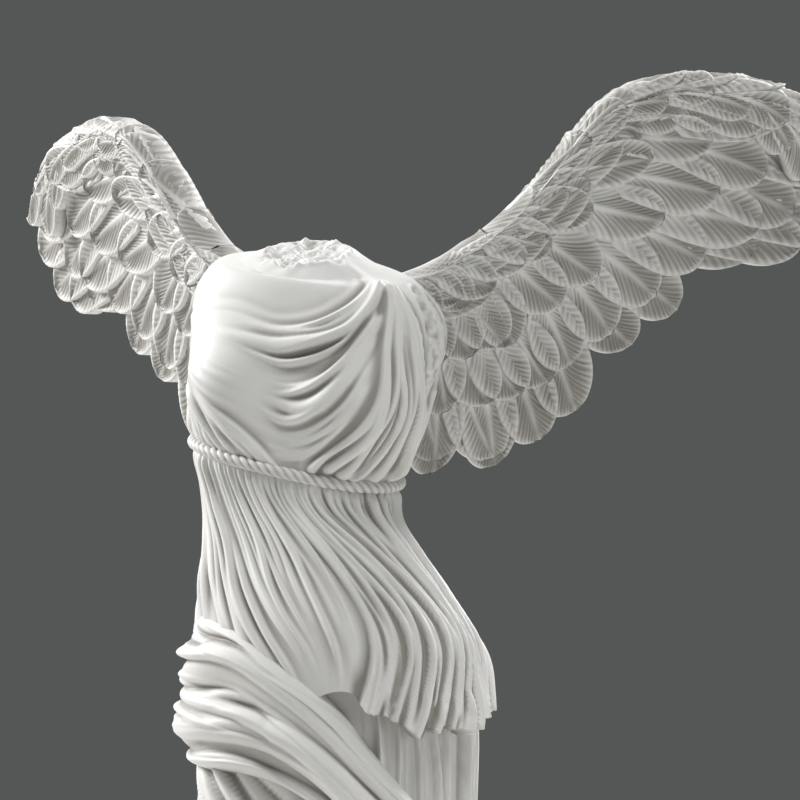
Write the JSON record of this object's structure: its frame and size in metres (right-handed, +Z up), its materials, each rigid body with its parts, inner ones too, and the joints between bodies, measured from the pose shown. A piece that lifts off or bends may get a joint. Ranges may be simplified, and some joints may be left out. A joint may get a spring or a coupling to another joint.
{
  "type": "statue",
  "caption": "Marble statue of a headless, armless, winged figure in a gathered dress with a rope girdle and a mantle round the hips, standing on a low plinth.",
  "frame": {"origin": "middle of the plinth's underside", "axes": "+Z up, -Y the way the figure faces, +X the figure's left"},
  "size_m": [0.4272, 0.2215, 0.595],
  "materials": {
    "figure_marble": "cast and honed white marble, matte",
    "wing_marble": "cast and honed white marble, matte",
    "plinth_marble": "honed white marble, matte"
  },
  "bodies": {
    "root": {"figure": "figure_marble", "wing_left": "wing_marble", "wing_right": "wing_marble", "plinth": "plinth_marble"}
  },
  "joints": []
}
